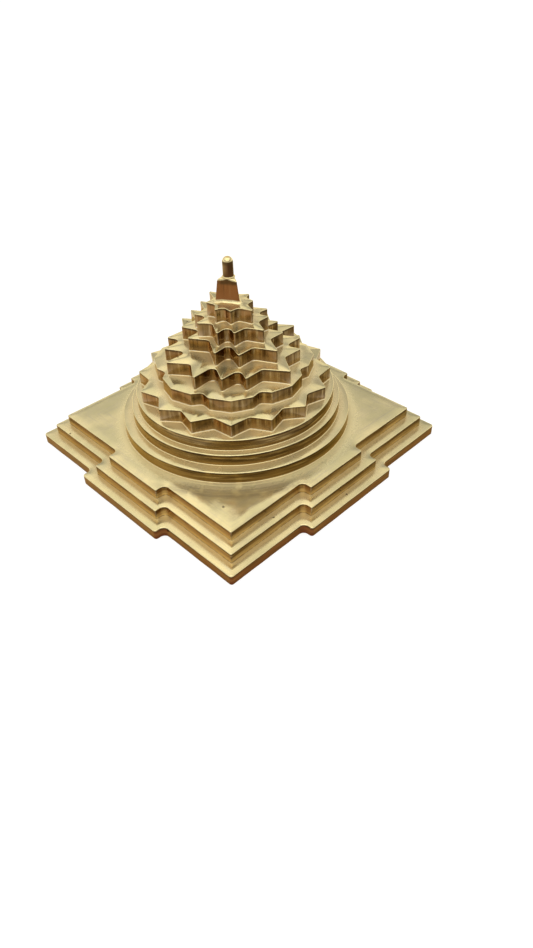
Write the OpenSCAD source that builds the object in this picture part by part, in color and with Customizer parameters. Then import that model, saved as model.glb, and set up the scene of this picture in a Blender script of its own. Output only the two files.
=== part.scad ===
// Meru shri yantra: a stepped brass pyramid of separate plates on one hidden stud.
// Sizes are in millimetres, +Z is up, and the front of the yantra faces -Y.

/* [Square plates] */
// Side of the lowest square plate
base_side = 100; // [90:1:130]
// Thickness of each square plate
plate_t = 3.9; // [3.4:0.1:6]
// How far each square plate steps in from the one below
plate_step = 3.6; // [2:0.1:4]
// Width of the gates on the lowest plate
gate_w = 39.4; // [30:0.2:50]
// How far each gate stands out from its side
gate_out = 3.6; // [2.5:0.1:6]
// Cutter radius left in the inner corners of the gates
gate_corner_r = 1.8; // [0.5:0.1:2.4]

/* [Round steps] */
// Diameter of the lowest round step
ring_d = 78.5; // [74:0.5:82]
// Thickness of each round step
ring_t = 4.2; // [3:0.1:6]
// Ledge between the lowest and the middle round step
lower_ledge = 3.45; // [2:0.05:5]
// Ledge between the middle and the top round step
upper_ledge = 2.15; // [1:0.05:4]

/* [Petal tiers] */
// Thickness of every petal tier and point tier
tier_t = 5; // [4:0.1:7]
// Ledge between the top round step and the tips of the sixteen petals
sixteen_ledge = 1.15; // [0.5:0.05:3]
// Depth of the valleys between the sixteen petals
sixteen_depth = 3.8; // [2:0.1:5]
// Ledge between the sixteen-petal valleys and the tips of the eight petals
eight_ledge = 1.95; // [1:0.05:4]
// Depth of the valleys between the eight petals
eight_depth = 3.15; // [2:0.05:4]
// How far the shoulders of the eight petals fall behind their tips
eight_shoulder = 1.1; // [0.4:0.05:1.8]
// Width of each of the eight petals across its shoulders
eight_w = 13.7; // [11:0.1:15]
// Cutter radius left in the valleys of all tiers
valley_r = 1.7; // [0.4:0.1:1.8]

/* [Point tiers] */
// Ledge in front of the fourteen-point tier, at its front point
fourteen_ledge = 0.45; // [0.2:0.05:2]
// Ledge in front of the outer ten-point tier, at its front point
outer_ten_ledge = 5.4; // [4:0.1:7]
// Ledge in front of the inner ten-point tier, at its front point
inner_ten_ledge = 5.6; // [4:0.1:7]
// Ledge in front of the eight-point tier, at its front point
eight_point_ledge = 4.5; // [3:0.1:5]

/* [Triangle and bindu] */
// Height of the triangle block's straight sides above the eight-point tier
block_h = 6.4; // [5:0.1:9]
// Height of the shoulder between those sides and the bindu pin
shoulder_h = 1.1; // [0.6:0.1:1.6]
// Reach of the triangle block's corners at its foot
block_foot_r = 4.7; // [4.3:0.05:5]
// Reach of the triangle block's corners at its top
block_top_r = 3.85; // [3.6:0.05:4.2]
// Depth that the triangle block is let into the eight-point tier
let_in = 1.2; // [0.6:0.1:1.6]
// Diameter of the bindu pin
pin_d = 3.4; // [3:0.1:3.6]
// Height of the bindu pin above the triangle block's shoulder
pin_h = 6.3; // [4:0.1:9]
// Diameter of the shank that holds the bindu pin in the block
shank_d = 1.8; // [1.4:0.1:2]
// Length of the bindu pin's shank
shank_l = 2.6; // [2:0.1:3.2]

/* [Fixings] */
// Diameter of the stud that ties the plates together
stud_d = 3; // [2.5:0.1:3]
// Gap round the stud where it passes through a plate
stud_gap = 0.2; // [0.1:0.05:0.3]
// Metal left in the block between the stud and the bindu's shank
block_web = 1; // [0.6:0.1:1.4]
// Width of the nut across its flats
nut_w = 5.5; // [5:0.1:6]
// Height of the nut
nut_h = 1.8; // [1.5:0.1:2]
// Diameter of the washer
washer_d = 7; // [6.5:0.5:9]
// Thickness of the washer
washer_t = 0.5; // [0.3:0.1:0.6]
// Gap round the washer in its recess
recess_gap = 1.5; // [0.5:0.1:3]
// Depth of the nut's lower face, and of the stud's end, above the table
foot_gap = 0.2; // [0.1:0.05:0.4]
// Diameter of the two long dowels through the plates and round steps
base_dowel_d = 3; // [2:0.1:4]
// Distance of those dowels from the axis
base_dowel_x = 20; // [14:0.5:22]
// Diameter of the two thin dowels through the upper tiers
tier_dowel_d = 2; // [1.2:0.1:2]
// Gap round each dowel, shank and let-in foot
fit_gap = 0.03; // [0.02:0.01:0.06]

/* [Hidden] */

$fn = 96;
arc_steps = 6;
over = 0.5;

brass = [0.82, 0.68, 0.34];
pale_brass = [0.86, 0.74, 0.42];
dark_brass = [0.62, 0.45, 0.20];
steel = [0.66, 0.66, 0.64];

// Heights at which the pieces sit, counted from the table
ring_z = 3 * plate_t;
tier_z = ring_z + 3 * ring_t;
block_z = tier_z + 6 * tier_t;
shoulder_z = block_z + block_h;
pin_z = shoulder_z + shoulder_h;

// Reach of each tier, worked inwards from the lowest round step
middle_ring_r = ring_d / 2 - lower_ledge;
upper_ring_r = middle_ring_r - upper_ledge;
sixteen_r = upper_ring_r - sixteen_ledge;
sixteen_valley_r = sixteen_r - sixteen_depth;
eight_r = sixteen_valley_r - eight_ledge;
fourteen_r = eight_r - fourteen_ledge;
outer_ten_r = fourteen_r - outer_ten_ledge;
inner_ten_r = outer_ten_r - inner_ten_ledge;
eight_point_r = inner_ten_r - eight_point_ledge;

// Counts of petals, fixed by tradition
OUTER_PETALS = 16;
INNER_PETALS = 8;

// Half outlines of the four point tiers, from the front point round to the back point.
// Each row is the angle from the front and the reach as a share of the front point's reach.
FOURTEEN = [
    [0, 1], [15, 0.745], [33, 0.868], [36, 0.655], [52, 0.863], [65, 0.575], [73.5, 0.913], [90, 0.69],
    [106.5, 0.913], [115, 0.575], [128, 0.863], [144, 0.655], [147, 0.868], [165, 0.745], [180, 1]
];
OUTER_TEN = [
    [0, 1], [15, 0.68], [36, 0.815], [48, 0.475], [62.5, 0.775], [91, 0.47],
    [115, 0.72], [132, 0.475], [144, 0.815], [165, 0.68], [180, 1]
];
INNER_TEN = [
    [0, 1], [16, 0.655], [38.5, 0.8], [49.5, 0.49], [63, 0.835], [92, 0.515],
    [111, 0.78], [130.5, 0.49], [141.5, 0.8], [164, 0.655], [180, 1]
];
EIGHT_POINT = [
    [0, 1], [18, 0.56], [42, 0.69], [67, 0.48], [81, 0.72], [105, 0.48], [129, 0.71], [156, 0.52], [180, 0.95]
];

// Recess for the nut and washer, and the lengths of the fixings
recess_h = foot_gap + nut_h + washer_t;
recess_r = washer_d / 2 + recess_gap;
stud_top = pin_z - shank_l - block_web;
least_valley_r = eight_point_r * min([for (row = EIGHT_POINT) row[1]]);
tier_dowel_x = (stud_d / 2 + stud_gap + least_valley_r) / 2;
base_dowel_z = plate_t / 2;
base_dowel_top = tier_z + tier_t / 2;
tier_dowel_z = base_dowel_top;
tier_dowel_top = block_z - tier_t / 2;

// A point at an angle from the front, positive towards +X
function polar(angle, reach) = [reach * sin(angle), -reach * cos(angle)];

// Arc that a round cutter leaves in the inner corner at v, between its neighbours p and n
function cutter_arc(p, v, n, r) =
    let (
        to_p = (p - v) / norm(p - v),
        to_n = (n - v) / norm(n - v),
        half = acos(to_p * to_n) / 2,
        centre = v + (to_p + to_n) / norm(to_p + to_n) * r / sin(half),
        start = v + to_p * r / tan(half) - centre,
        finish = v + to_n * r / tan(half) - centre,
        first = atan2(start.y, start.x),
        sweep = atan2(cross(start, finish), start * finish)
    )
    [for (i = [0 : arc_steps]) centre + polar(first + 90 + sweep * i / arc_steps, r)];

// Outline run anticlockwise, with its convex corners sharp and its inner corners cut to radius r
function cut_outline(points, r) =
    let (last = len(points))
    [for (i = [0 : last - 1])
        let (p = points[(i + last - 1) % last], v = points[i], n = points[(i + 1) % last])
        each cross(v - p, n - v) < 0 ? cutter_arc(p, v, n, r) : [v]];

// Square with a gate bump in the middle of each side
function square_outline(half, gate_half) =
    [for (side = [0 : 3])
        let (c = cos(90 * side), s = sin(90 * side))
        for (q = [[-half, -half], [-gate_half, -half], [-gate_half, -half - gate_out],
                  [gate_half, -half - gate_out], [gate_half, -half]])
        [c * q.x - s * q.y, s * q.x + c * q.y]];

// Star with equal points, its first point to the front
function even_star(points, tip_r, inner_r) =
    [for (i = [0 : 2 * points - 1]) polar(180 * i / points, i % 2 == 0 ? tip_r : inner_r)];

// Broad petals, each with a tip and two shoulders a given width apart
function petal_outline(petals, tip_r, shoulder_r, shoulder_w, inner_r) =
    let (half = 180 / petals, shoulder = asin(shoulder_w / 2 / shoulder_r))
    [for (i = [0 : petals - 1])
        let (at = 2 * half * i)
        each [polar(at - shoulder, shoulder_r), polar(at, tip_r),
              polar(at + shoulder, shoulder_r), polar(at + half, inner_r)]];

// Full outline from a half outline, mirrored left to right
function mirrored_star(rows, front_r) =
    concat(
        [for (row = rows) polar(row[0], row[1] * front_r)],
        [for (i = [len(rows) - 2 : -1 : 1]) polar(-rows[i][0], rows[i][1] * front_r)]
    );

// Upright hole or pin round the axis at x
module upright(x, r, from, to) {
    translate([x, 0, from]) cylinder(r = r, h = to - from);
}

module stud_hole() {
    upright(0, stud_d / 2 + stud_gap, -over, block_z + over);
}

module pair(x) {
    translate([x, 0, 0]) children();
    translate([-x, 0, 0]) children();
}

module base_dowel_holes() {
    pair(base_dowel_x) upright(0, base_dowel_d / 2 + fit_gap, base_dowel_z, base_dowel_top);
}

module tier_dowel_holes() {
    pair(tier_dowel_x) upright(0, tier_dowel_d / 2 + fit_gap, tier_dowel_z, tier_dowel_top);
}

// Square plate of the stack, counted from the lowest one as 0
module square_plate(level) {
    inset = level * plate_step;
    outline = cut_outline(square_outline(base_side / 2 - inset, gate_w / 2 - inset), gate_corner_r);
    difference() {
        translate([0, 0, level * plate_t]) linear_extrude(plate_t) polygon(outline);
        stud_hole();
        base_dowel_holes();
    }
}

module lower_square_plate() {
    color(dark_brass) difference() {
        square_plate(0);
        upright(0, recess_r, -over, recess_h);
    }
}

module middle_square_plate() {
    color(brass) square_plate(1);
}

module upper_square_plate() {
    color(pale_brass) square_plate(2);
}

module round_step(level, r) {
    color(brass) difference() {
        upright(0, r, ring_z + level * ring_t, ring_z + (level + 1) * ring_t);
        stud_hole();
        base_dowel_holes();
    }
}

module lower_round_step() {
    round_step(0, ring_d / 2);
}

module middle_round_step() {
    round_step(1, middle_ring_r);
}

module upper_round_step() {
    round_step(2, upper_ring_r);
}

// Star or petal plate of the upper stack, counted from the sixteen petals as 0
module tier(level, points) {
    difference() {
        translate([0, 0, tier_z + level * tier_t])
            linear_extrude(tier_t) polygon(cut_outline(points, valley_r));
        stud_hole();
        tier_dowel_holes();
    }
}

module sixteen_petal_tier() {
    color(brass) difference() {
        tier(0, even_star(OUTER_PETALS, sixteen_r, sixteen_valley_r));
        base_dowel_holes();
    }
}

module eight_petal_tier() {
    shoulder_r = eight_r - eight_shoulder;
    color(brass) tier(1, petal_outline(INNER_PETALS, eight_r, shoulder_r, eight_w, eight_r - eight_depth));
}

module fourteen_point_tier() {
    color(brass) tier(2, mirrored_star(FOURTEEN, fourteen_r));
}

module outer_ten_point_tier() {
    color(brass) tier(3, mirrored_star(OUTER_TEN, outer_ten_r));
}

module inner_ten_point_tier() {
    color(brass) tier(4, mirrored_star(INNER_TEN, inner_ten_r));
}

module eight_point_tier() {
    color(brass) difference() {
        tier(5, mirrored_star(EIGHT_POINT, eight_point_r));
        block_foot(block_foot_r + 2 * fit_gap, over);
    }
}

// Straight three-sided foot of the triangle block, one corner to the front
module block_foot(reach, above) {
    translate([0, 0, block_z - let_in]) rotate(-90) cylinder(r = reach, h = let_in + above, $fn = 3);
}

// Top of the triangle block, drawn in from its three edges to the round foot of the pin
module block_shoulder() {
    translate([0, 0, shoulder_z]) intersection() {
        rotate(-90) cylinder(r1 = block_top_r, r2 = pin_d, h = shoulder_h, $fn = 3);
        cylinder(r1 = block_top_r, r2 = pin_d / 2, h = shoulder_h);
    }
}

module triangle_block() {
    color(dark_brass) difference() {
        union() {
            block_foot(block_foot_r, 0);
            translate([0, 0, block_z]) rotate(-90)
                cylinder(r1 = block_foot_r, r2 = block_top_r, h = block_h, $fn = 3);
            block_shoulder();
        }
        upright(0, stud_d / 2 + fit_gap, block_z - let_in - over, stud_top + fit_gap);
        upright(0, shank_d / 2 + fit_gap, pin_z - shank_l - fit_gap, pin_z + over);
    }
}

module bindu_pin() {
    dome_z = pin_z + pin_h - pin_d / 2;
    color(pale_brass) {
        upright(0, shank_d / 2, pin_z - shank_l, pin_z + over);
        upright(0, pin_d / 2, pin_z, dome_z);
        translate([0, 0, dome_z]) sphere(d = pin_d);
    }
}

module tie_stud() {
    color(steel) upright(0, stud_d / 2, foot_gap, stud_top);
}

module tie_nut() {
    color(steel) difference() {
        translate([0, 0, foot_gap]) cylinder(d = nut_w / cos(30), h = nut_h, $fn = 6);
        upright(0, stud_d / 2 + fit_gap, 0, foot_gap + nut_h + over);
    }
}

module tie_washer() {
    color(steel) difference() {
        upright(0, washer_d / 2, recess_h - washer_t, recess_h);
        stud_hole();
    }
}

module base_dowels() {
    color(steel) pair(base_dowel_x) upright(0, base_dowel_d / 2, base_dowel_z, base_dowel_top);
}

module tier_dowels() {
    color(steel) pair(tier_dowel_x) upright(0, tier_dowel_d / 2, tier_dowel_z, tier_dowel_top);
}

lower_square_plate();
middle_square_plate();
upper_square_plate();
lower_round_step();
middle_round_step();
upper_round_step();
sixteen_petal_tier();
eight_petal_tier();
fourteen_point_tier();
outer_ten_point_tier();
inner_ten_point_tier();
eight_point_tier();
triangle_block();
bindu_pin();
tie_stud();
tie_nut();
tie_washer();
base_dowels();
tier_dowels();
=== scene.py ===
"""Polished brass meru shri yantra: the looks of every level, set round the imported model."""

import math

import bmesh
import bpy
import numpy as np
from mathutils import Matrix, Vector, geometry, noise


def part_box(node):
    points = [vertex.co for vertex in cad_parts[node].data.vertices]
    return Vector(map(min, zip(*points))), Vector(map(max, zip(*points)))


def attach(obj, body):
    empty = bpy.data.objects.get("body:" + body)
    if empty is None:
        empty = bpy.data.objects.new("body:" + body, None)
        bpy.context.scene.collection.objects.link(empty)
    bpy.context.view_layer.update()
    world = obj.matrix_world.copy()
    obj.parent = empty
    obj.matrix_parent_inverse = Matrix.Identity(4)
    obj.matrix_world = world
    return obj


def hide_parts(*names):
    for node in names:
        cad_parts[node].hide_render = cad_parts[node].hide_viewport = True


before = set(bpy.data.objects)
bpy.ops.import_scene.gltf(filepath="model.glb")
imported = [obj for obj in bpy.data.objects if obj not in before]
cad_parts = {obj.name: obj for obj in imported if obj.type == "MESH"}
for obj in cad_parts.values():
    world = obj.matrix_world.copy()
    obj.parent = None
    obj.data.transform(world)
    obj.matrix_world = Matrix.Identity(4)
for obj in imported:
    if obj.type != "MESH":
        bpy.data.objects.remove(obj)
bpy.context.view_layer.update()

MM = 0.001
UP = Vector((0, 0, 1))

# Camera: the photograph's viewpoint and its wide phone lens
CAMERA_AT = Vector((-0.1296, -0.1482, 0.1471))
CAMERA_AZIMUTH = math.radians(-44.00)
CAMERA_ELEVATION = math.radians(40.02)
CAMERA_ROLL = math.radians(-1.86)
LENS_MM = 25.4
SENSOR_MM = 36.0
NEAREST_SEEN = 10 * MM

# Plates from the table up, and the hidden fixings that keep their CAD solids
STACK = [
    "lower_square_plate", "middle_square_plate", "upper_square_plate",
    "lower_round_step", "middle_round_step", "upper_round_step",
    "sixteen_petal_tier", "eight_petal_tier", "fourteen_point_tier",
    "outer_ten_point_tier", "inner_ten_point_tier", "eight_point_tier",
]
FIXINGS = ["tie_stud", "tie_nut", "tie_washer", "base_dowels", "tier_dowels"]

# Hand finish of each kind of plate, in millimetres: rounding of its upper edge and of its corners, cove at
# its foot, and the crown of its top, which falls by the drop over the width next to its rim
TIER_FINISH = {"edge": 0.2, "corner": 0.4, "cove": 0.3, "width": 4.2, "drop": 0.5}
FINISH = {
    "lower_square_plate": {"edge": 0.45, "corner": 0.9, "width": 2.8, "drop": 0.25},
    "square_plate": {"edge": 0.3, "corner": 0.4, "cove": 0.08, "width": 2.8, "drop": 0.25},
    "round_step": {"edge": 0.3, "cove": 0.25, "width": 2.6, "drop": 0.25},
    "petal_tier": TIER_FINISH,
    "point_tier": TIER_FINISH,
}
LEAST_COVE = 0.08 * MM
FOOT_ROUNDING = 0.2 * MM
WAVE_DEPTH = 0.06 * MM
WAVE_LENGTH = 6 * MM

# Triangle block and bindu pin
BLOCK_COVE = 1.2 * MM
BLOCK_FACES = [math.radians(angle) for angle in (90, -30, 210)]
BLOCK_SHARPNESS = 16
PIN_FLARE = 0.4 * MM

# Fineness of the meshes
SAME_POINT = 0.001 * MM
WALL_STEP = 1.2 * MM
CROWN_GRID = 0.7 * MM
ARC_STEPS = 5
DOME_STEPS = 9
CIRCLE_SIDES = 240
BLOCK_SIDES = 144
PIN_SIDES = 72
SHARP = math.radians(50)
LEAST_CORNER = math.radians(25)
LEAST_MITRE = 0.3
INSIDE_ONLY = 1


def of_kind(table, node):
    """A plate's own entry in a table, or that of the last two words of its name, such as square_plate."""
    return table.get(node) or table["_".join(node.split("_")[-2:])]


# Outlines

def turn(before, point, after):
    """Signed turning angle at a point of an anticlockwise outline: positive at a convex corner."""
    a, b = point - before, after - point
    return math.atan2(a.cross(b), a.dot(b))


def neighbours(points):
    """Each point of a closed outline with the one before it and the one after it."""
    last = len(points)
    return [(points[i - 1], points[i], points[(i + 1) % last]) for i in range(last)]


def area(points):
    return sum(p.cross(n) for _, p, n in neighbours(points)) / 2


def outlines_at(node, height):
    """Outlines of a node's flat face at a height, anticlockwise, the largest first."""
    shape = bmesh.new()
    shape.from_mesh(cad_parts[node].data)
    bmesh.ops.remove_doubles(shape, verts=shape.verts, dist=SAME_POINT)
    flat = {f for f in shape.faces if all(abs(v.co.z - height) < SAME_POINT for v in f.verts)}
    following = {}
    for face in flat:
        for loop in face.loops:
            if not any(other in flat for other in loop.edge.link_faces if other is not face):
                following[loop.vert] = loop.link_loop_next.vert
    outlines = []
    while following:
        start, here = following.popitem()
        points = [start.co.xy]
        while here is not start:
            points.append(here.co.xy)
            here = following.pop(here)
        outlines.append(points if area(points) > 0 else points[::-1])
    shape.free()
    return sorted(outlines, key=area, reverse=True)


def circle(radius, sides=CIRCLE_SIDES):
    return [Vector((math.cos(a), math.sin(a))) * radius
            for a in (2 * math.pi * i / sides for i in range(sides))]


def rounded(points, radius):
    """Outline with each convex corner worn to a small arc."""
    made = []
    for before, point, after in neighbours(points):
        bend = turn(before, point, after)
        if bend < LEAST_CORNER:
            made.append(point)
            continue
        reach = radius * math.tan(bend / 2)
        start = point + (before - point).normalized() * reach
        inward = Vector((before.y - point.y, point.x - before.x)).normalized()
        centre = start + inward * radius
        spoke = start - centre
        for i in range(ARC_STEPS + 1):
            made.append(centre + Matrix.Rotation(bend * i / ARC_STEPS, 2) @ spoke)
    return made


def divided(points, step):
    """Outline with its long straight runs cut into short ones."""
    made = []
    for _, point, after in neighbours(points):
        count = max(1, math.ceil((after - point).length / step))
        made += [point.lerp(after, i / count) for i in range(count)]
    return made


def outward(points):
    """Mitred outward direction at each point of an outline."""
    made = []
    for before, point, after in neighbours(points):
        a, b = (point - before).normalized(), (after - point).normalized()
        normal = Vector((a.y + b.y, -a.x - b.x)).normalized()
        made.append(normal / max(LEAST_MITRE, normal.dot(Vector((a.y, -a.x)))))
    return made


def waved(points, seed):
    """Outline with the slight waviness of hand polishing."""
    made = []
    for point, normal in zip(points, outward(points)):
        depth = noise.noise(Vector((point.x, point.y, seed * WAVE_LENGTH)) / WAVE_LENGTH) * WAVE_DEPTH
        made.append(point + normal * depth)
    return made


def depths(points, outline):
    """How far inside an outline each point lies, negative for a point outside it."""
    spot = np.array(points)[:, None, :]
    start = np.array(outline)[None, :, :]
    run = np.roll(start, -1, axis=1) - start
    away = spot - start
    share = np.clip((away * run).sum(2) / (run ** 2).sum(2), 0, 1)
    least = np.linalg.norm(away - run * share[..., None], axis=2).min(1)
    crossed = (away[..., 1] < 0) != (away[..., 1] < run[..., 1])
    rise = np.where(run[..., 1] == 0, 1, run[..., 1])
    beyond = away[..., 0] < run[..., 0] * away[..., 1] / rise
    inside = (crossed & beyond).sum(1) % 2 == 1
    return np.where(inside, least, -least)


class Crown:
    """Top surface of a plate, level in the middle and falling gently to its rim."""

    def __init__(self, outline, high, finish):
        self.outline = outline
        self.high = high
        self.width = finish["width"]
        self.drop = finish["drop"]
        self.edge_depth = finish["edge"]

    def fall(self, depth):
        return self.drop * (1 - np.clip(depth / self.width, 0, 1)) ** 2

    def heights(self, points):
        return self.high - self.fall(depths(points, self.outline))

    def grid(self, least):
        """Points of a square grid on the falling strip, at least a given distance from the rim."""
        box = np.array(self.outline)
        xs, ys = (np.arange(box[:, i].min(), box[:, i].max(), CROWN_GRID) for i in (0, 1))
        points = np.stack(np.meshgrid(xs, ys), axis=-1).reshape(-1, 2)
        inside = depths(points, self.outline)
        return points[(inside > least) & (inside < self.width + CROWN_GRID)]


# Meshes

def new_piece(name, shape, material, wall_top):
    """Brass piece from a bmesh, on the part's only body. Each point keeps its share of the wall's height."""
    mesh = bpy.data.meshes.new(name)
    share = shape.verts.layers.float.new("wall_share")
    low = min(v.co.z for v in shape.verts)
    for vert in shape.verts:
        vert[share] = min(1.0, (vert.co.z - low) / (wall_top - low))
    shape.normal_update()
    for edge in shape.edges:
        edge.smooth = edge.calc_face_angle(0) < SHARP
    shape.to_mesh(mesh)
    shape.free()
    for face in mesh.polygons:
        face.use_smooth = True
    mesh.materials.append(material)
    piece = bpy.data.objects.new(name, mesh)
    bpy.context.scene.collection.objects.link(piece)
    weighted = piece.modifiers.new("flat faces stay flat", "WEIGHTED_NORMAL")
    weighted.keep_sharp = True
    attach(piece, "root")
    return piece


def ring(points, heights):
    return [Vector((p.x, p.y, z)) for p, z in zip(points, heights)]


def level_ring(points, height):
    return ring(points, [height] * len(points))


def loft(rings, floor=True, crown=None):
    """Bmesh through rings of points, lowest first, with a flat or a crowned top."""
    shape = bmesh.new()
    rows = [[shape.verts.new(p) for p in points] for points in rings]
    for low, high in zip(rows, rows[1:]):
        for i in range(len(low)):
            shape.faces.new((low[i - 1], low[i], high[i], high[i - 1]))
    if floor:
        shape.faces.new(list(reversed(rows[0])))
    if crown:
        cap(shape, rows[-1], crown)
    else:
        shape.faces.new(rows[-1])
    return shape


def cap(shape, rim, crown):
    """Top faces inside a rim, through a grid of points on the crown."""
    grid = crown.grid(crown.edge_depth + CROWN_GRID / 2)
    spots = [v.co.xy for v in rim] + [Vector(p) for p in grid]
    loop = [(i, (i + 1) % len(rim)) for i in range(len(rim))]
    triangulated = geometry.delaunay_2d_cdt(spots, loop, [], INSIDE_ONLY, SAME_POINT / 10)
    found, _, faces, origins, _, _ = triangulated
    heights = crown.heights([tuple(p) for p in found])
    corners = []
    for point, height, origin in zip(found, heights, origins):
        on_rim = [i for i in origin if i < len(rim)]
        corners.append(rim[on_rim[0]] if on_rim else shape.verts.new((point.x, point.y, height)))
    for face in faces:
        shape.faces.new([corners[i] for i in face])


def quarter(steps=ARC_STEPS):
    """Sines and cosines of a quarter turn in equal steps."""
    return [(math.sin(a), math.cos(a)) for a in (math.pi / 2 * i / steps for i in range(steps + 1))]


def foot_rings(outline, coves, ground):
    """Rings of the cove at a foot, with its own radius at each point, down to the crown that it stands on."""
    normals = outward(outline)
    lows = ground.heights([tuple(p + n * r) for p, n, r in zip(outline, normals, coves)])
    return [ring([p + n * r * (1 - s) for p, n, r in zip(outline, normals, coves)],
                 [low + r * (1 - c) for low, r in zip(lows, coves)]) for s, c in quarter()]


def lowest_rings(outline, low):
    """Rings of the small rounding under the lowest plate's rim."""
    normals = outward(outline)
    return [level_ring([p - n * FOOT_ROUNDING * (1 - s) for p, n in zip(outline, normals)],
                       low + FOOT_ROUNDING * (1 - c)) for s, c in quarter()]


def edge_rings(outline, high, edge):
    """Rings of a rounded upper edge."""
    normals = outward(outline)
    return [level_ring([p - n * edge * (1 - c) for p, n in zip(outline, normals)], high - edge * (1 - s))
            for s, c in quarter()]


def underside(shape, outline, hole, low, depth):
    """Flat underside of the lowest plate, with the round recess for the nut."""
    outer = [shape.verts.new((p.x, p.y, low)) for p in outline]
    inner = [shape.verts.new((p.x, p.y, low)) for p in hole]
    roof = [shape.verts.new((p.x, p.y, depth)) for p in hole]
    spots = outer + inner
    for corners in geometry.tessellate_polygon([[v.co for v in outer], [v.co for v in inner]]):
        face = shape.faces.new([spots[i] for i in corners])
        face.normal_update()
        if face.normal.z > 0:
            face.normal_flip()
    for i in range(len(inner)):
        shape.faces.new((inner[i], inner[i - 1], roof[i - 1], roof[i]))
    shape.faces.new(list(reversed(roof)))
    bmesh.ops.remove_doubles(shape, verts=shape.verts, dist=SAME_POINT)


# Nodes of materials and of the world

class Graph:
    """Short names for building the nodes of a material or a world."""

    def __init__(self, owner):
        self.owner = owner
        owner.use_nodes = True
        self.tree = owner.node_tree
        self.tree.nodes.clear()

    def node(self, kind, settings=None, **inputs):
        made = self.tree.nodes.new(kind)
        for key, value in (settings or {}).items():
            setattr(made, key, value)
        for key, value in inputs.items():
            self.put(made.inputs[key.replace("_", " ")], value)
        return made

    def put(self, socket, value):
        if isinstance(value, bpy.types.NodeSocket):
            self.tree.links.new(value, socket)
        else:
            socket.default_value = value

    def filled(self, kind, operation, values):
        """Outputs of a math node whose first inputs take the values."""
        made = self.node(kind, {"operation": operation})
        for socket, value in zip(made.inputs, values):
            self.put(socket, value)
        return made.outputs

    def chain(self, operation, values):
        made = values[0]
        for value in values[1:]:
            made = self.filled("ShaderNodeMath", operation, (made, value))[0]
        return made

    def product(self, *values):
        return self.chain("MULTIPLY", values)

    def total(self, *values):
        return self.chain("ADD", values)

    def greatest(self, *values):
        return self.chain("MAXIMUM", values)

    def rest(self, share):
        """What a share leaves of 1."""
        return self.chain("SUBTRACT", (1.0, share))

    def ramp(self, value, low, high, to_low=0.0, to_high=1.0):
        """Smooth step of a value between two limits, which may run downwards, from one level to another."""
        made = self.node("ShaderNodeMapRange", {"interpolation_type": "SMOOTHSTEP"}, Value=value)
        for key, number in (("From Min", low), ("From Max", high), ("To Min", to_low), ("To Max", to_high)):
            self.put(made.inputs[key], number)
        return made.outputs[0]

    def mix(self, share, a, b):
        """Colour a, with a share of colour b laid over it."""
        made = self.node("ShaderNodeMix", {"data_type": "RGBA"})
        sockets = {s.identifier: s for s in made.inputs}
        self.put(sockets["Factor_Float"], share)
        self.put(sockets["A_Color"], a)
        self.put(sockets["B_Color"], b)
        return next(s for s in made.outputs if s.identifier == "Result_Color")

    def coat(self, paint, colour, *shares):
        """Paint with a colour laid over it, as strongly as the product of the shares."""
        return self.mix(self.product(*shares), paint, colour)

    def grain(self, place, size, detail=2.0):
        """Noise from 0 to 1 whose blobs are about as big as size, in metres."""
        return self.node("ShaderNodeTexNoise", Vector=place, Scale=1 / size, Detail=detail).outputs["Fac"]

    def parts(self, vector):
        return self.node("ShaderNodeSeparateXYZ", Vector=vector).outputs

    def stretched(self, place, factors):
        return self.filled("ShaderNodeVectorMath", "MULTIPLY", (place, factors))["Vector"]

    def along(self, vector, direction):
        return self.filled("ShaderNodeVectorMath", "DOT_PRODUCT", (vector, direction))["Value"]

    def length(self, vector):
        return self.filled("ShaderNodeVectorMath", "LENGTH", (vector,))["Value"]

    def bumped(self, relief):
        """Normal of a surface with a relief, in metres."""
        return self.node("ShaderNodeBump", Height=relief, Distance=1.0, Strength=1.0).outputs[0]

    def finished(self, shader, output="ShaderNodeOutputMaterial"):
        self.node(output, Surface=shader.outputs[0])
        return self.owner


def rgb(red, green, blue):
    return (red, green, blue, 1.0)


# Brass: colours of its tops, edges and marks
STRAW = rgb(0.89, 0.755, 0.39)
GREENISH = rgb(0.70, 0.62, 0.32)
# Straw of corners and narrow ledges, duller and darker: partly their less polished finish, partly painted
# shade
DULL_STRAW = rgb(0.89, 0.72, 0.37)
DEEP_STRAW = rgb(0.78, 0.62, 0.31)
PIN_TOP = rgb(0.80, 0.60, 0.24)
# Painted highlight along the rounded upper edges
PAINTED_EDGE_HIGHLIGHT = rgb(0.94, 0.79, 0.41)
GLINT = rgb(0.93, 0.80, 0.55)
GREY_FILM = rgb(0.60, 0.52, 0.36)
GREY_SMEAR = rgb(0.40, 0.33, 0.19)
# Pale tint in the coves and along the foot of tier walls: polish residue and a painted highlight
RESIDUE_AND_FOOT_HIGHLIGHT = rgb(0.78, 0.67, 0.46)
# Painted shade in the coves and along the foot of the square plates' walls
PAINTED_CORNER_SHADE = rgb(0.16, 0.09, 0.03)
# Dark tool marks on the walls, and the painted shade in a band under each rim
DARK_MARK_AND_RIM_SHADE = rgb(0.05, 0.03, 0.01)
PIT = rgb(0.10, 0.06, 0.03)
# Pale painted reflection on walls that face far to the left
PALE_SIDE_REFLECTION = rgb(0.55, 0.44, 0.30)


def wall_colours(**colours):
    return {name: rgb(*colour) for name, colour in colours.items()}


# Brass: colours of the walls, darker and browner than the tops: partly the oxide of their less polished
# faces, partly painted reflection of dark surroundings
# Dark and middle mix by the grain and by painted light from the side that faces left; the left-side colour is
# a reddish painted reflection on walls that face left; light is for the tool marks; the foot colour, low on a
# wall, is a painted reflection of what lies below it
PLATE_WALL = wall_colours(dark=(0.17, 0.105, 0.045), middle=(0.36, 0.24, 0.11), light=(0.60, 0.46, 0.23),
                          copper=(0.42, 0.26, 0.16), foot=(0.80, 0.65, 0.39))
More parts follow.
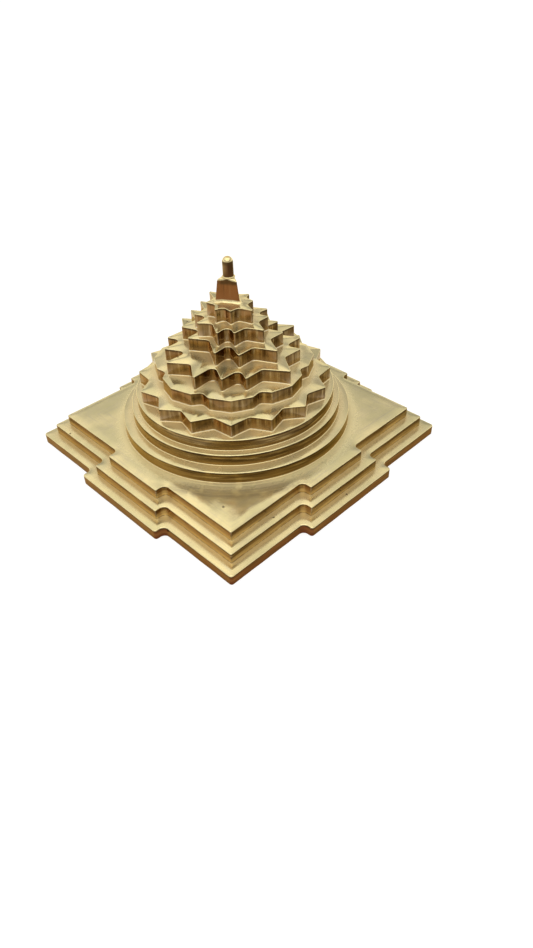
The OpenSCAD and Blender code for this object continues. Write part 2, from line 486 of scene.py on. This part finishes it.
# Sides of the lowest plate: a dark red-brown painted reflection of a dark red table
FOOT_WALL = wall_colours(dark=(0.10, 0.032, 0.01), middle=(0.16, 0.056, 0.017), light=(0.24, 0.10, 0.03),
                         copper=(0.16, 0.05, 0.016), foot=(0.11, 0.03, 0.01))
RING_WALL = wall_colours(dark=(0.07, 0.036, 0.012), middle=(0.25, 0.16, 0.055), light=(0.56, 0.42, 0.19),
                         copper=(0.45, 0.31, 0.14), foot=(0.30, 0.20, 0.08))
TIER_WALL = wall_colours(dark=(0.06, 0.03, 0.01), middle=(0.28, 0.175, 0.06), light=(0.48, 0.35, 0.16),
                         copper=(0.36, 0.165, 0.055), foot=(0.40, 0.29, 0.17))
BLOCK_WALL = wall_colours(dark=(0.13, 0.05, 0.014), middle=(0.20, 0.08, 0.022), light=(0.24, 0.11, 0.035),
                          copper=(0.28, 0.11, 0.03), foot=(0.22, 0.09, 0.03))
PIN_WALL = wall_colours(dark=(0.04, 0.016, 0.006), middle=(0.08, 0.035, 0.012), light=(0.14, 0.075, 0.03),
                        copper=(0.30, 0.18, 0.065), foot=(0.08, 0.035, 0.012))
# Direction of the side whose walls get painted light and painted reflections
PAINTED_LIGHT_SIDE = (-0.85, 0.53, 0.0)
FRONT = (-0.707, -0.707, 0.0)
FLATTEN = (1, 1, 0)

# Brass: sizes of its grain, and how some of it is stretched
TONE_SIZE = 14 * MM
CLOUD_SIZE = 4 * MM
FINE_SIZE = 1.1 * MM
SWELL_SIZE = 6 * MM
RING_SIZE = 0.35 * MM
SMEAR_SIZE = 3 * MM
SMEAR_STRETCH = (1, 0.35, 1)
LINE_SIZE = 0.7 * MM
LINES_ALONG_X = (0.05, 1, 1)
LINES_ALONG_Y = (1, 0.05, 1)
PIT_SPACING = 9 * MM

# Brass: tool marks on the walls, broad ones and then fine ones, each with its stretch and its size
LEVEL_MARKS = (((0.08, 0.08, 1), 1.2 * MM), ((0.06, 0.06, 1), 0.7 * MM))
UPRIGHT_MARKS = (((1, 1, 0.2), 3.2 * MM), ((1, 1, 0.05), 0.9 * MM))

# Brass: depths of its relief
SWELL_DEPTH = 0.06 * MM
CLOUD_DEPTH = 0.014 * MM
MARK_DEPTH = 0.004 * MM
SMEAR_DEPTH = 0.007 * MM
RING_DEPTH = 0.003 * MM
PIT_DEPTH = 0.06 * MM

# Brass: how strongly each coat covers what lies under it
CLOUD_FILM = 0.2
SMEAR_FILM = 0.4
CORNER_TINT = 0.9
ARC_FILM = 0.6
# Strengths of the painted reflections on walls that face left, reddish and then pale
LEFT_REFLECTION_TINT = 0.7
PALE_TINT = 0.5
LIGHT_MARKS = 0.6
DARK_MARKS = 0.5
PIT_TINT = 0.8
BROAD_SHARE = 0.6
# Share of a wall's shade that is painted light from the side that faces left
SIDE_SHARE = 0.4
VEIL_ROUGHNESS = 0.5

# Brass: limits of its ramps, some with the levels at the two limits after them. By the normal's upward part
TOP_BEGINS = (0.15, 0.55)
# Where the painted highlight on a rounded edge begins and ends
EDGE_BEGINS = (0.15, 0.5)
EDGE_ENDS = (0.97, 0.8)
# Where the tint of a cove begins and ends: pale residue with a painted highlight on the tiers, painted shade
# on the square plates
SEAM_BEGINS = (0.1, 0.3)
SEAM_ENDS = (0.98, 0.9)
# By how far a wall faces the side with painted light: its painted shade, its reddish painted reflection, and
# further on a pale painted reflection
SIDE_SHADES = (-0.7, 0.5)
LEFT_REFLECTION_BEGINS = (0.2, 0.9)
PALE_BEGINS = (0.9, 1.0)
# By the open air round a point, and by the nearness of a corner that follows from it
CORNER_AIR = (0.97, 0.65)
AIR_SAMPLES = 16
SEAM_CORNER = (0.4, 0.8)
# The painted edge highlight fades near corners
EDGE_HIGHLIGHT_CORNER = (0.5, 0.1)
# By the share of the wall's height: the band of painted shade under the rim, and the tint along the foot
RIM_SHADE_BAND = (0.8, 0.97)
FOOT_LINE = (0.16, 0.04)
# By place: where the polishing arcs begin and end, and where the turned rings fade out
ARCS_BEGIN = (37 * MM, 41 * MM)
ARCS_END = (48 * MM, 45 * MM)
RINGS_END = (46 * MM, 41 * MM)
# By the grain
TONE_TINTS = (0.35, 0.65)
CLOUD_TINTS = (0.4, 0.75)
SMEAR_TINTS = (0.5, 0.75)
ARC_RINGS = (0.35, 0.5)
ARC_PATCHES = (0.3, 0.5)
BROAD_SHADES = (0.3, 0.7)
MARKS_LIGHT = (0.52, 0.7)
MARKS_DARK = (0.45, 0.3)
# Patches of the painted reflection low on a wall
FOOT_PATCHES = (0.3, 0.7, 0.5, 1.0)
# Patches of the painted shade under the rim
RIM_SHADE_PATCHES = (0.35, 0.6, 0.3, 0.85)
SEAM_PATCHES = (0.4, 0.6, 0.3, 0.8)
LINE_PATCHES = (0.4, 0.6, 0.1, 0.8)
# Patches of the painted edge highlight
EDGE_HIGHLIGHT_PATCHES = (0.25, 0.6, 0.5, 1.0)
MARKS_ROUGHNESS = (0.3, 0.8, 0.0, 0.1)
CLOUD_ROUGHNESS = (0.3, 0.7, 0.0, 0.05)
# By the distance from a pit's centre, and by the chance that a spot has a pit
PIT_RIM = (0.05, 0.03)
PIT_CHANCE = (0.85, 0.87)


class BrassGraph(Graph):
    """Grain, corners and coats that every kind of brass piece shares."""

    def __init__(self, name, corner_reach, level_marks):
        super().__init__(bpy.data.materials.new(name))
        self.place = self.node("ShaderNodeTexCoord").outputs["Object"]
        self.normal = self.node("ShaderNodeNewGeometry").outputs["Normal"]
        self.rise = self.parts(self.normal)["Z"]
        self.up = self.ramp(self.rise, *TOP_BEGINS)
        self.steep = self.rest(self.up)
        air = self.node("ShaderNodeAmbientOcclusion", {"samples": AIR_SAMPLES}, Distance=corner_reach)
        self.corner = self.ramp(air.outputs["AO"], *CORNER_AIR)
        self.share = self.node("ShaderNodeAttribute", {"attribute_name": "wall_share"}).outputs["Fac"]
        self.tone = self.grain(self.place, TONE_SIZE, detail=3)
        self.cloud = self.grain(self.place, CLOUD_SIZE)
        self.fine = self.grain(self.place, FINE_SIZE, detail=3)
        self.broad, self.marks = (self.grain(self.stretched(self.place, factors), size)
                                  for factors, size in (LEVEL_MARKS if level_marks else UPRIGHT_MARKS))
        self.smear = self.lines() if level_marks else self.smears()
        self.pits = self.scattered_pits()

    def smears(self):
        """Soft smears of polish on a top."""
        return self.grain(self.stretched(self.place, SMEAR_STRETCH), SMEAR_SIZE, detail=3)

    def lines(self):
        """Straight polishing lines on a top, along the side that is nearest."""
        size = self.parts(self.filled("ShaderNodeVectorMath", "ABSOLUTE", (self.place,))["Vector"])
        across = self.chain("GREATER_THAN", (size["X"], size["Y"]))
        lines_x = self.grain(self.stretched(self.place, LINES_ALONG_X), LINE_SIZE)
        lines_y = self.grain(self.stretched(self.place, LINES_ALONG_Y), LINE_SIZE)
        return self.total(self.product(across, lines_y), self.product(self.rest(across), lines_x))

    def scattered_pits(self):
        """Strength of the few small pits in a top."""
        spots = self.node("ShaderNodeTexVoronoi", {"voronoi_dimensions": "2D"}, Vector=self.place,
                          Scale=1 / PIT_SPACING).outputs
        chance = self.node("ShaderNodeSeparateColor", Color=spots["Color"]).outputs[0]
        return self.product(self.ramp(spots["Distance"], *PIT_RIM), self.ramp(chance, *PIT_CHANCE), self.up)

    def radius(self):
        return self.length(self.stretched(self.place, FLATTEN))

    def rings(self):
        """Grain of a turned top: rings round the axis."""
        lathe = self.node("ShaderNodeCombineXYZ", X=self.radius(), Y=self.parts(self.place)["Z"]).outputs[0]
        return self.grain(lathe, RING_SIZE)

    def top_paint(self, tints, corner_tint):
        paint = self.mix(self.ramp(self.tone, *TONE_TINTS), *tints)
        paint = self.coat(paint, GREY_FILM, self.ramp(self.cloud, *CLOUD_TINTS), CLOUD_FILM)
        paint = self.coat(paint, GREY_FILM, self.ramp(self.smear, *SMEAR_TINTS), SMEAR_FILM)
        # Duller, darker straw where little open air is round a point: partly a less polished finish, partly
        # painted shade
        return self.coat(paint, corner_tint, self.corner, CORNER_TINT)

    def polishing_arcs(self, paint):
        """Grey arcs on the front of a turned top."""
        return self.coat(paint, GREY_SMEAR, self.ramp(self.along(self.place, FRONT), *ARCS_BEGIN),
                         self.ramp(self.rings(), *ARC_RINGS), self.ramp(self.cloud, *ARC_PATCHES),
                         self.ramp(self.radius(), *ARCS_END), ARC_FILM)

    def wall_paint(self, walls, foot_reflection_reach):
        """Painted shade by grain and by side, painted reflections on the side that faces left and low on the
        wall, tool marks, and painted shade under the rim of a wall.
        """
        left = self.along(self.normal, PAINTED_LIGHT_SIDE)
        # Painted light: walls that face left are lighter, mixed with the broad grain
        shade = self.total(self.product(self.ramp(self.broad, *BROAD_SHADES), BROAD_SHARE),
                           self.product(self.ramp(left, *SIDE_SHADES), SIDE_SHARE))
        paint = self.mix(shade, walls["dark"], walls["middle"])
        # Painted reflections on walls that face left: reddish, and pale at the far left
        paint = self.coat(paint, walls["copper"], self.ramp(left, *LEFT_REFLECTION_BEGINS), LEFT_REFLECTION_TINT)
        paint = self.coat(paint, PALE_SIDE_REFLECTION, self.ramp(left, *PALE_BEGINS), PALE_TINT)
        paint = self.coat(paint, walls["light"], self.ramp(self.marks, *MARKS_LIGHT), LIGHT_MARKS)
        paint = self.coat(paint, DARK_MARK_AND_RIM_SHADE, self.ramp(self.marks, *MARKS_DARK), DARK_MARKS)
        # Painted reflection of what lies below, low on the wall
        paint = self.coat(paint, walls["foot"], self.ramp(self.share, foot_reflection_reach, 0.0),
                          self.ramp(self.marks, *FOOT_PATCHES))
        # Painted shade in a band under the rim
        return self.coat(paint, DARK_MARK_AND_RIM_SHADE, self.ramp(self.share, *RIM_SHADE_BAND), self.ramp(self.cloud, *RIM_SHADE_PATCHES))

    def seams(self, paint, tint):
        """A tint in the cove and along the foot of a wall: pale polish residue with a painted highlight on
        the tiers, painted shade on the square plates.
        """
        paint = self.coat(paint, tint, self.ramp(self.rise, *SEAM_BEGINS), self.ramp(self.rise, *SEAM_ENDS),
                          self.ramp(self.corner, *SEAM_CORNER), self.ramp(self.cloud, *SEAM_PATCHES))
        return self.coat(paint, tint, self.ramp(self.share, *FOOT_LINE), self.steep,
                         self.ramp(self.fine, *LINE_PATCHES))

    def painted_edge_highlight(self, paint):
        # Painted highlight on the rounded upper edges, in patches, fading in corners
        edge = self.product(self.ramp(self.rise, *EDGE_BEGINS), self.ramp(self.rise, *EDGE_ENDS))
        return self.coat(paint, PAINTED_EDGE_HIGHLIGHT, edge, self.ramp(self.corner, *EDGE_HIGHLIGHT_CORNER),
                         self.ramp(self.fine, *EDGE_HIGHLIGHT_PATCHES))

    def roughness(self, gloss, veil):
        return self.total(gloss, self.product(self.steep, self.ramp(self.marks, *MARKS_ROUGHNESS)),
                          self.product(self.corner, self.up, veil, VEIL_ROUGHNESS),
                          self.ramp(self.cloud, *CLOUD_ROUGHNESS))

    def relief(self, turned):
        """Height of the swell of hand polishing, tool marks, pits, smears and turned rings."""
        swell = self.product(self.grain(self.place, SWELL_SIZE, detail=1), SWELL_DEPTH)
        wave = self.total(swell, self.product(self.cloud, CLOUD_DEPTH))
        relief = self.total(wave, self.product(self.marks, self.steep, MARK_DEPTH),
                            self.product(self.pits, -PIT_DEPTH),
                            self.product(self.smear, self.up, SMEAR_DEPTH))
        if turned:
            fading = self.ramp(self.radius(), *RINGS_END)
            relief = self.total(relief, self.product(self.rings(), fading, RING_DEPTH))
        return relief


def brass(name, walls, gloss, satin, corner_reach=5 * MM, corner_tint=DULL_STRAW, veil=0.2, foot_reflection_reach=0.6,
          seam_tint=None, top_tints=(STRAW, GREENISH), level_marks=False, turned=False):
    """Polished brass: straw tops, browner walls with tool marks, painted shade and painted reflections, a
    painted highlight along the edges, satin corners in a duller straw that is partly painted shade.
    """
    g = BrassGraph(name, corner_reach, level_marks)
    top = g.top_paint(top_tints, corner_tint)
    if turned:
        top = g.polishing_arcs(top)
    paint = g.mix(g.up, g.wall_paint(walls, foot_reflection_reach), top)
    if seam_tint:
        paint = g.seams(paint, seam_tint)
    paint = g.painted_edge_highlight(paint)
    paint = g.coat(paint, PIT, g.pits, PIT_TINT)
    film = g.product(g.up, g.total(satin, g.product(g.corner, veil)))
    return g.finished(g.node("ShaderNodeBsdfPrincipled", Base_Color=paint, Metallic=g.rest(film),
                             Roughness=g.roughness(gloss, veil), Specular_Tint=GLINT,
                             Normal=g.bumped(g.relief(turned))))


# Tiers get pale residue with a painted highlight in their coves and along their feet; square plates get
# painted shade there
TIER_LOOK = {"walls": TIER_WALL, "gloss": 0.12, "satin": 0.14, "foot_reflection_reach": 0.7, "seam_tint": RESIDUE_AND_FOOT_HIGHLIGHT}
PLATE_LOOK = {"walls": PLATE_WALL, "gloss": 0.13, "foot_reflection_reach": 0.75, "seam_tint": PAINTED_CORNER_SHADE, "level_marks": True}
brass_of = {
    "lower_square_plate": brass("brass_foot_plate", FOOT_WALL, gloss=0.13, satin=0.08,
                                corner_tint=DEEP_STRAW, veil=0.3, level_marks=True),
    "middle_square_plate": brass("brass_plate", satin=0.08, corner_tint=DEEP_STRAW, veil=0.3, **PLATE_LOOK),
    "upper_square_plate": brass("brass_top_plate", satin=0.24, corner_reach=9 * MM, corner_tint=STRAW,
                                veil=0.5, turned=True, **PLATE_LOOK),
    "round_step": brass("brass_turned", RING_WALL, gloss=0.14, satin=0.2, corner_reach=6 * MM,
                        level_marks=True, turned=True),
    "petal_tier": brass("brass_petal_tier", veil=0.45, **TIER_LOOK),
    "point_tier": brass("brass_star_tier", **TIER_LOOK),
}
block_brass = brass("brass_block", BLOCK_WALL, gloss=0.18, satin=0.2, corner_reach=2 * MM)
pin_brass = brass("brass_pin", PIN_WALL, gloss=0.14, satin=0.1, corner_reach=1 * MM,
                  top_tints=(PIN_TOP, PIN_TOP))


# Steel of the hidden fixings
STEEL_LIGHT = rgb(0.62, 0.62, 0.60)
STEEL_DARK = rgb(0.44, 0.44, 0.43)
STEEL_STRETCH = (0.2, 0.2, 1)
STEEL_LINE_SIZE = 0.3 * MM
STEEL_LINE_DEPTH = 0.01 * MM
STEEL_SHADES = (0.3, 0.7)
STEEL_ROUGHNESS = (0.2, 0.8, 0.28, 0.42)


def steel():
    """Turned steel."""
    g = Graph(bpy.data.materials.new("fixing_steel"))
    place = g.node("ShaderNodeTexCoord").outputs["Object"]
    lines = g.grain(g.stretched(place, STEEL_STRETCH), STEEL_LINE_SIZE)
    paint = g.mix(g.ramp(lines, *STEEL_SHADES), STEEL_LIGHT, STEEL_DARK)
    return g.finished(g.node("ShaderNodeBsdfPrincipled", Base_Color=paint, Metallic=1.0,
                             Roughness=g.ramp(lines, *STEEL_ROUGHNESS),
                             Normal=g.bumped(g.product(lines, STEEL_LINE_DEPTH))))


# The stack of plates

def plate_outline(node, finish, seed):
    """A plate's own outline with worn corners and slight waves."""
    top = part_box(node)[1]
    if node.endswith("round_step"):
        points = circle(top.x)
    else:
        points = divided(rounded(outlines_at(node, top.z)[0], finish["corner"]), WALL_STEP)
    return waved(points, seed)


def make_plate(node, seed, ground):
    """Polished plate that stands on the crown below it, or on the table. Returns its own crown."""
    finish = {name: size * MM for name, size in of_kind(FINISH, node).items()}
    low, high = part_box(node)
    outline = plate_outline(node, finish, seed)
    crown = Crown(outline, high.z, finish)
    edges = edge_rings(outline, high.z - crown.fall(crown.edge_depth), crown.edge_depth)
    if ground:
        free = depths([tuple(p) for p in outline], ground.outline) - ground.edge_depth - LEAST_COVE
        foot = foot_rings(outline, np.clip(free, LEAST_COVE, finish["cove"]), ground)
        shape = loft(foot + edges, crown=crown)
    else:
        foot = lowest_rings(outline, low.z)
        shape = loft(foot + edges, floor=False, crown=crown)
        underside(shape, foot[0], outlines_at(node, low.z)[1], low.z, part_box("tie_washer")[1].z)
    piece = new_piece("polished_" + node, shape, of_kind(brass_of, node), edges[0][0].z)
    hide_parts(node)
    return crown


# Triangle block and bindu pin

def soft_triangle(reach):
    """Three-sided outline with a corner to the front and soft corners."""
    points = []
    for i in range(BLOCK_SIDES):
        angle = 2 * math.pi * i / BLOCK_SIDES
        facing = sum(max(0.0, math.cos(angle - face)) ** BLOCK_SHARPNESS for face in BLOCK_FACES)
        spread = facing ** (1 / BLOCK_SHARPNESS)
        points.append(Vector((math.cos(angle), math.sin(angle))) * reach / 2 / spread)
    return points


def levels(node):
    """Heights at which a node's mesh has corners, to a micrometre, lowest first."""
    return sorted({round(v.co.z, 6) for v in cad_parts[node].data.vertices})


def reach_at(node, height):
    """Greatest distance from the axis of a node's corners at a height."""
    corners = [v.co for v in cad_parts[node].data.vertices]
    return max(c.xy.length for c in corners if abs(c.z - height) < SAME_POINT * 2)


def make_block(ground):
    """Tapered block with a cove at its foot and a rounded shoulder up to the pin."""
    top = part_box("triangle_block")[1].z
    tier_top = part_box("eight_point_tier")[1].z
    shoulder = max((z for z in levels("triangle_block") if z > tier_top + SAME_POINT),
                   key=lambda z: reach_at("triangle_block", z))
    foot_outline = soft_triangle(reach_at("triangle_block", tier_top))
    shoulder_outline = soft_triangle(reach_at("triangle_block", shoulder))
    pin_outline = circle(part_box("bindu_pin")[1].x, BLOCK_SIDES)
    rings = foot_rings(foot_outline, [BLOCK_COVE] * BLOCK_SIDES, ground)
    for s, c in quarter():
        rim = [p.lerp(e, c) for e, p in zip(shoulder_outline, pin_outline)]
        rings.append(level_ring(rim, shoulder + (top - shoulder) * s))
    piece = new_piece("polished_triangle_block", loft(rings), block_brass, shoulder)
    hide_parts("triangle_block")


def make_pin():
    """Round pin with a small flare at its foot and a domed top."""
    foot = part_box("triangle_block")[1].z
    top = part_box("bindu_pin")[1]
    dome = top.z - top.x
    rings = [level_ring(circle(top.x + PIN_FLARE * (1 - s), PIN_SIDES), foot + PIN_FLARE * (1 - c))
             for s, c in quarter()]
    rings += [level_ring(circle(top.x * c, PIN_SIDES), dome + top.x * s) for s, c in quarter(DOME_STEPS)[:-1]]
    piece = new_piece("polished_bindu_pin", loft(rings), pin_brass, dome)
    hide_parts("bindu_pin")


def make_fixings():
    """The hidden fixings keep their CAD solids and get the steel."""
    material = steel()
    for node in FIXINGS:
        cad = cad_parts[node]
        cad.data.materials.clear()
        cad.data.materials.append(material)


# Floor, light and camera
WHITE = rgb(1, 1, 1)
FLOOR_SIZE = 30
FLOOR_GAP = 0.05 * MM
FLOOR_GLOW = 0.84
FLOOR_GREY = rgb(0.28, 0.28, 0.28)
LAMP_AT = Vector((-0.25, -0.3, 0.85))
LAMP_SIZE = 1.1
LAMP_POWER = 3.4

# Dome: its colours, and its brightness by direction as the limits of a ramp and the levels there
LOW_SKY = rgb(0.84, 0.85, 0.98)
HIGH_SKY = rgb(0.99, 0.96, 0.91)
SKY_TINTS = (0.3, 0.8)
SKY_BEGINS = (0.28, 0.4)
RISING = (0.35, 0.8, 0.44, 1.2)
OVERHEAD = (0.8, 0.96, 1.0, 0.78)
HORIZON = (0.33, 0.43, 1.0, 0.0)
CAMERA_SIDE = (0.45, 0.95, 1.0, 0.5)
RIGHT_SIDE = (-0.15, 0.3, 1.0, 0.78)
RIGHT = (0.75, -0.66, 0)


def make_floor():
    """Pale floor, whose glow is seen directly and in the brass but lights nothing."""
    bpy.ops.mesh.primitive_plane_add(size=FLOOR_SIZE, location=(0, 0, -FLOOR_GAP))
    floor = bpy.context.object
    floor.name = "floor"
    g = Graph(bpy.data.materials.new("pale_floor"))
    rays = g.node("ShaderNodeLightPath").outputs
    seen = g.greatest(rays["Is Camera Ray"], rays["Is Glossy Ray"], rays["Is Transmission Ray"])
    glow = g.node("ShaderNodeEmission", Color=WHITE, Strength=g.product(seen, FLOOR_GLOW))
    matte = g.node("ShaderNodeBsdfDiffuse", Color=FLOOR_GREY)
    both = g.node("ShaderNodeAddShader")
    g.put(both.inputs[0], glow.outputs[0])
    g.put(both.inputs[1], matte.outputs[0])
    floor.data.materials.append(g.finished(both))


def make_world():
    """Soft studio dome: brightest high up, dimmer to the right and on the camera's side, pale horizon."""
    g = Graph(bpy.data.worlds.new("studio"))
    way = g.node("ShaderNodeTexCoord").outputs["Generated"]
    height = g.along(way, UP)
    dome = g.product(g.ramp(g.along(way, CAMERA_AT.normalized()), *CAMERA_SIDE), g.ramp(height, *RISING),
                     g.ramp(height, *OVERHEAD), g.ramp(g.along(way, RIGHT), *RIGHT_SIDE))
    sky = g.mix(g.ramp(height, *SKY_TINTS), LOW_SKY, HIGH_SKY)
    sky = g.mix(g.ramp(height, *SKY_BEGINS), WHITE, sky)
    back = g.node("ShaderNodeBackground", Color=sky, Strength=g.greatest(dome, g.ramp(height, *HORIZON)))
    bpy.context.scene.world = g.finished(back, "ShaderNodeOutputWorld")


def make_lamp():
    """Wide soft lamp above the camera, turned to the part."""
    lamp = bpy.data.lights.new("softbox", "AREA")
    lamp.energy = LAMP_POWER
    lamp.size = LAMP_SIZE
    holder = bpy.data.objects.new("softbox", lamp)
    holder.location = LAMP_AT
    holder.rotation_euler = (-LAMP_AT).to_track_quat("-Z", "Y").to_euler()
    bpy.context.scene.collection.objects.link(holder)


def make_camera():
    """The photograph's camera, with its slight roll."""
    back = Vector((math.sin(CAMERA_AZIMUTH) * math.cos(CAMERA_ELEVATION),
                   -math.cos(CAMERA_AZIMUTH) * math.cos(CAMERA_ELEVATION),
                   math.sin(CAMERA_ELEVATION)))
    right = UP.cross(back).normalized()
    up = back.cross(right)
    across = right * math.cos(CAMERA_ROLL) + up * math.sin(CAMERA_ROLL)
    upward = up * math.cos(CAMERA_ROLL) - right * math.sin(CAMERA_ROLL)
    data = bpy.data.cameras.new("camera")
    data.lens = LENS_MM
    data.sensor_width = SENSOR_MM
    data.clip_start = NEAREST_SEEN
    camera = bpy.data.objects.new("camera", data)
    turned = Matrix((across, upward, back)).transposed().to_4x4()
    camera.matrix_world = Matrix.Translation(CAMERA_AT) @ turned
    bpy.context.scene.collection.objects.link(camera)
    bpy.context.scene.camera = camera


# The whole scene

ground = None
for level, node in enumerate(STACK):
    ground = make_plate(node, level, ground)
make_block(ground)
make_pin()
make_fixings()
make_floor()
make_world()
make_lamp()
make_camera()
bpy.context.scene.view_settings.view_transform = "Standard"
